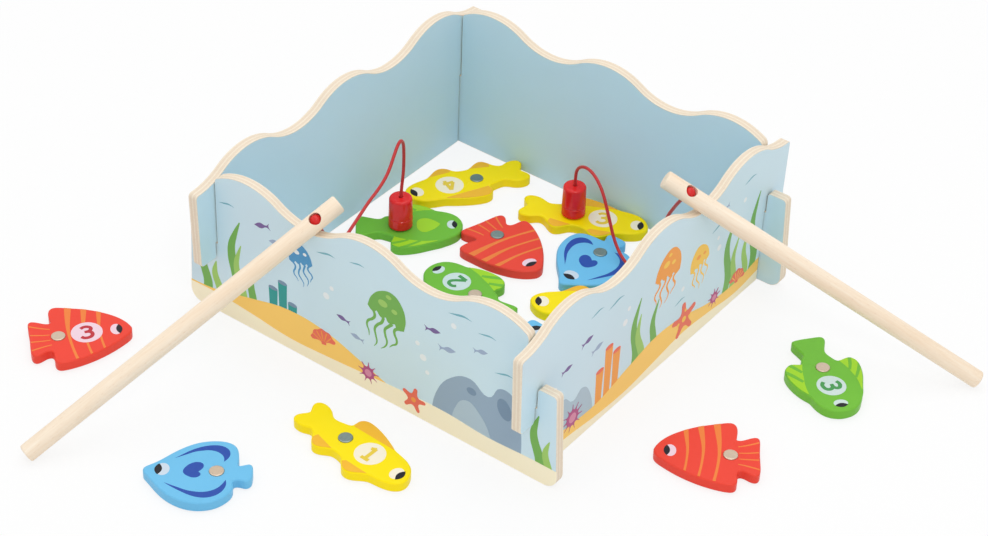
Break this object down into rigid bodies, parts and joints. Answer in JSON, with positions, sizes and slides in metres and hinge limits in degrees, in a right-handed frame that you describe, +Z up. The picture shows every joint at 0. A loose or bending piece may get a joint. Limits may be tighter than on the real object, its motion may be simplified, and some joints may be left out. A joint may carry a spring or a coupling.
{
  "type": "magnetic fishing game",
  "caption": "Wooden magnetic fishing game: a pond of slotted plywood walls with wavy tops, flat fish with steel discs, and dowel rods whose cords carry magnet bobs.",
  "frame": {"origin": "centre of the whole set's footprint, without its cords, on the table; the middle of the pond is at x -0.0437 m, y 0.0738 m", "axes": "+Z up; +X along the pond's front wall towards its right end, which is also the set's longest way; +Y from the front wall to the back wall"},
  "size_m": [0.447, 0.4064, 0.1125],
  "materials": {
    "printed_plywood": "6 mm plywood, printed pale blue outside, plain pale blue inside, bare sanded edges",
    "red_painted_wood": "satin painted wood",
    "blue_painted_wood": "satin painted wood",
    "green_painted_wood": "satin painted wood",
    "yellow_painted_wood": "satin painted wood",
    "steel_disc": "smooth zinc-plated steel",
    "beech_dowel": "sanded natural beech",
    "red_plastic": "glossy moulded plastic",
    "magnet": "plated disc magnet",
    "red_cord": "waxed braided cord"
  },
  "bodies": {
    "root": {"back_wall": "printed_plywood", "blue_fish_a": "blue_painted_wood", "blue_fish_a_disc": "steel_disc", "blue_fish_b": "blue_painted_wood", "blue_fish_b_disc": "steel_disc", "blue_fish_c": "blue_painted_wood", "blue_fish_c_disc": "steel_disc", "front_bob_barrel": "red_plastic", "front_bob_base": "red_plastic", "front_bob_knot": "red_cord", "front_bob_magnet": "magnet", "front_cord": "red_cord", "front_rod": "beech_dowel", "front_rod_knot": "red_cord", "front_wall": "printed_plywood", "green_fish_2": "green_painted_wood", "green_fish_2_disc": "steel_disc", "green_fish_3": "green_painted_wood", "green_fish_3_disc": "steel_disc", "green_fish_a": "green_painted_wood", "green_fish_a_disc": "steel_disc", "left_wall": "printed_plywood", "red_fish_3": "red_painted_wood", "red_fish_3_disc": "steel_disc", "red_fish_a": "red_painted_wood", "red_fish_a_disc": "steel_disc", "red_fish_b": "red_painted_wood", "red_fish_b_disc": "steel_disc", "right_bob_barrel": "red_plastic", "right_bob_base": "red_plastic", "right_bob_knot": "red_cord", "right_bob_magnet": "magnet", "right_cord": "red_cord", "right_rod": "beech_dowel", "right_rod_knot": "red_cord", "right_wall": "printed_plywood", "yellow_fish_1": "yellow_painted_wood", "yellow_fish_1_disc": "steel_disc", "yellow_fish_3": "yellow_painted_wood", "yellow_fish_3_disc": "steel_disc", "yellow_fish_4": "yellow_painted_wood", "yellow_fish_4_disc": "steel_disc", "yellow_fish_a": "yellow_painted_wood", "yellow_fish_a_disc": "steel_disc"}
  },
  "joints": []
}
